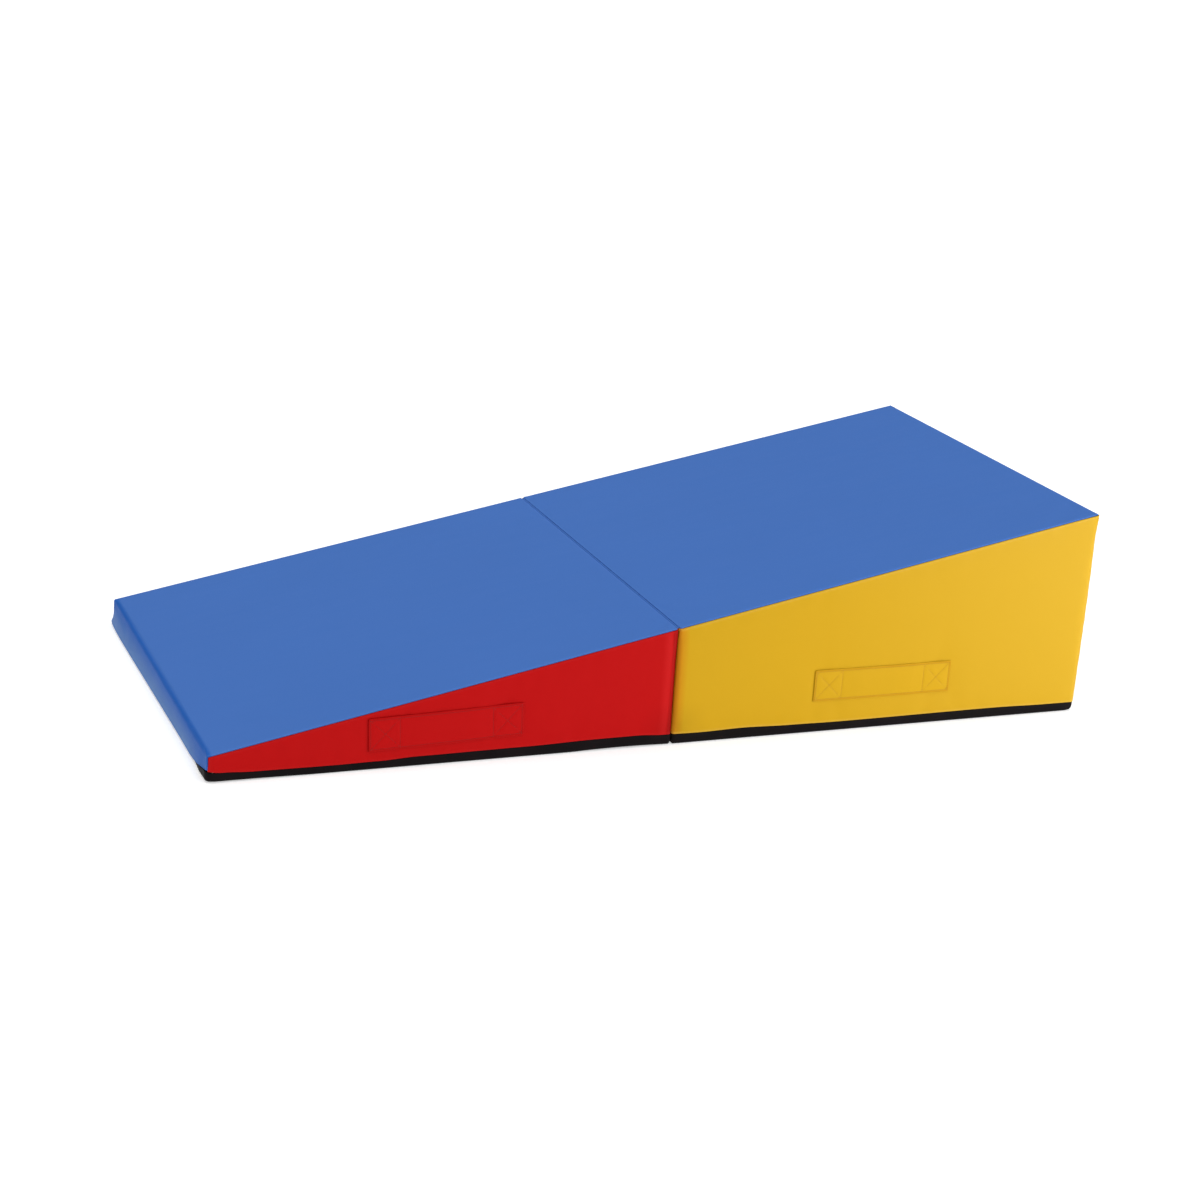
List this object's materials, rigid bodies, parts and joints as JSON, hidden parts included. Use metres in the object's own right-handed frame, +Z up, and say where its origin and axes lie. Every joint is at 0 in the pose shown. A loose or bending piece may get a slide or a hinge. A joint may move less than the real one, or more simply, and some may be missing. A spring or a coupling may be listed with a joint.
{
  "type": "folding gymnastics wedge mat",
  "caption": "Foam-filled vinyl incline mat in two wedge sections that fold onto each other into a level block, with sewn carry handles, a non-slip base and zipped covers.",
  "frame": {"origin": "on the floor under the hinge line, at the middle of the mat's length and width", "axes": "+X along the mat from the thin end to the tall end, +Z up, -Y the pictured front side"},
  "size_m": [1.524, 0.7794, 0.3556],
  "materials": {
    "blue_vinyl": "satin",
    "red_vinyl": "satin",
    "yellow_vinyl": "satin",
    "black_grip": "matte",
    "white_foam": "matte",
    "zip_cloth": "matte",
    "zip_nylon": "satin",
    "nickel": "polished"
  },
  "bodies": {
    "high_section": {"high_top_cover": "blue_vinyl", "high_front_side": "yellow_vinyl", "high_rear_side": "yellow_vinyl", "high_hinge_wall": "yellow_vinyl", "high_end_wall": "yellow_vinyl", "high_base": "black_grip", "high_foam_board_1": "white_foam", "high_foam_board_2": "white_foam", "high_foam_board_3": "white_foam", "high_foam_board_4": "white_foam", "high_foam_board_5": "white_foam", "high_foam_board_6": "white_foam", "high_foam_board_7": "white_foam", "high_front_handle": "yellow_vinyl", "high_rear_handle": "yellow_vinyl", "high_zip_upper_tape": "zip_cloth", "high_zip_lower_tape": "zip_cloth", "high_zip_chain": "zip_nylon", "high_zip_hinge_stop": "nickel", "high_zip_far_stop": "nickel", "hinge_strip": "blue_vinyl"},
    "low_section": {"low_top_cover": "blue_vinyl", "low_front_side": "red_vinyl", "low_rear_side": "red_vinyl", "low_hinge_wall": "red_vinyl", "low_base": "black_grip", "low_foam_board_1": "white_foam", "low_foam_board_2": "white_foam", "low_foam_board_3": "white_foam", "low_foam_board_4": "white_foam", "low_front_handle": "red_vinyl", "low_rear_handle": "red_vinyl", "low_zip_upper_tape": "zip_cloth", "low_zip_lower_tape": "zip_cloth", "low_zip_chain": "zip_nylon", "low_zip_hinge_stop": "nickel", "low_zip_far_stop": "nickel"},
    "low_slider": {"low_zip_slider": "nickel"},
    "low_pull": {"low_zip_pull": "nickel"},
    "high_slider": {"high_zip_slider": "nickel"},
    "high_pull": {"high_zip_pull": "nickel"}
  },
  "joints": [
    {"name": "fold", "type": "hinge", "parent": "high_section", "child": "low_section", "pos_m": [0, 0, 0.2008], "axis": [0, 1, 0], "range_deg": [0, 180], "deforming": ["hinge_strip"]},
    {"name": "low_zip_slide", "type": "slide", "parent": "low_section", "child": "low_slider", "axis": [-1, 0, 0], "range_m": [0, 0.67], "deforming": ["low_zip_chain", "low_zip_upper_tape", "low_zip_lower_tape"]},
    {"name": "low_zip_pull_turn", "type": "hinge", "parent": "low_slider", "child": "low_pull", "pos_m": [-0.0446, 0.3832, 0.0202], "axis": [0, 0, 1], "range_deg": [-180, 0]},
    {"name": "high_zip_slide", "type": "slide", "parent": "high_section", "child": "high_slider", "axis": [1, 0, 0], "range_m": [0, 0.67], "deforming": ["high_zip_chain", "high_zip_upper_tape", "high_zip_lower_tape"]},
    {"name": "high_zip_pull_turn", "type": "hinge", "parent": "high_slider", "child": "high_pull", "pos_m": [0.0446, 0.3832, 0.0202], "axis": [0, 0, 1], "range_deg": [0, 180]}
  ]
}
